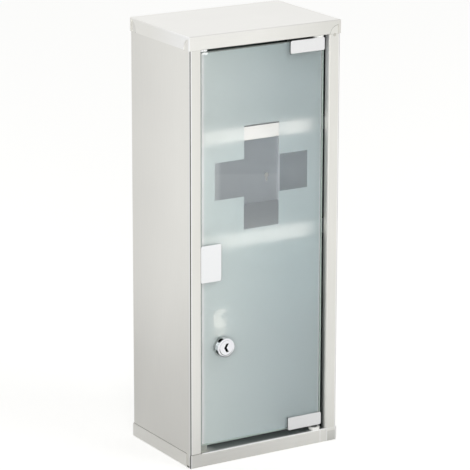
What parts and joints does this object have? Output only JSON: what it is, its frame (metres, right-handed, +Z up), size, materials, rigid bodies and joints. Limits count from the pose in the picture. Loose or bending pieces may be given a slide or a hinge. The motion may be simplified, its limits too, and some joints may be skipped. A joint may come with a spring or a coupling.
{
  "type": "wall medicine cabinet",
  "caption": "Tall narrow wall cabinet of folded steel sheet with an inset frosted glass door showing a clear cross, pivot hinge clips, a cam lock, a magnetic catch and inner shelves.",
  "frame": {"origin": "middle of the flat underside of the base cap, which is also the middle of the body's width and depth", "axes": "+X to the right as seen from the front, +Y from the door towards the wall, +Z up"},
  "size_m": [0.198, 0.1359, 0.5],
  "materials": {
    "satin_stainless": "brushed satin",
    "white_nylon": "moulded",
    "white_plastic": "moulded",
    "magnet_ferrite": "sintered",
    "zinc_steel": "zinc plated",
    "clear_silicone": "translucent",
    "clear_glass": "polished",
    "frosted_film": "frosted",
    "satin_nickel": "satin nickel",
    "bright_chrome": "polished",
    "pad_rubber": "matt"
  },
  "bodies": {
    "cabinet": {"body_shell": "satin_stainless", "top_cap": "satin_stainless", "bottom_cap": "satin_stainless", "upper_shelf": "satin_stainless", "lower_shelf": "satin_stainless", "upper_shelf_rails": "satin_stainless", "lower_shelf_rails": "satin_stainless", "top_pivot_bush": "white_nylon", "bottom_pivot_bush": "white_nylon", "pivot_spacer_washer": "white_nylon", "catch_bracket": "satin_stainless", "catch_case": "white_plastic", "catch_magnet": "magnet_ferrite", "catch_pole_plates": "zinc_steel", "door_bumpers": "clear_silicone"},
    "door": {"glass_pane": "clear_glass", "frosted_film": "frosted_film", "top_hinge_clip": "satin_nickel", "bottom_hinge_clip": "satin_nickel", "top_clip_pad": "pad_rubber", "bottom_clip_pad": "pad_rubber", "clip_screws": "zinc_steel", "top_pivot_pin": "zinc_steel", "bottom_pivot_pin": "zinc_steel", "catch_strike": "bright_chrome", "strike_pad": "pad_rubber", "lock_housing": "bright_chrome", "lock_gasket": "pad_rubber", "lock_nut": "zinc_steel"},
    "lock_plug": {"lock_plug": "bright_chrome", "lock_cam": "zinc_steel", "cam_screw": "zinc_steel"}
  },
  "joints": [
    {"name": "door_hinge", "type": "hinge", "parent": "cabinet", "child": "door", "pos_m": [0.072, -0.06, 0.25], "axis": [0, 0, 1], "range_deg": [0, 130]},
    {"name": "lock_turn", "type": "hinge", "parent": "door", "child": "lock_plug", "pos_m": [-0.0527, -0.06, 0.1378], "axis": [0, -1, 0], "range_deg": [0, 90]}
  ]
}
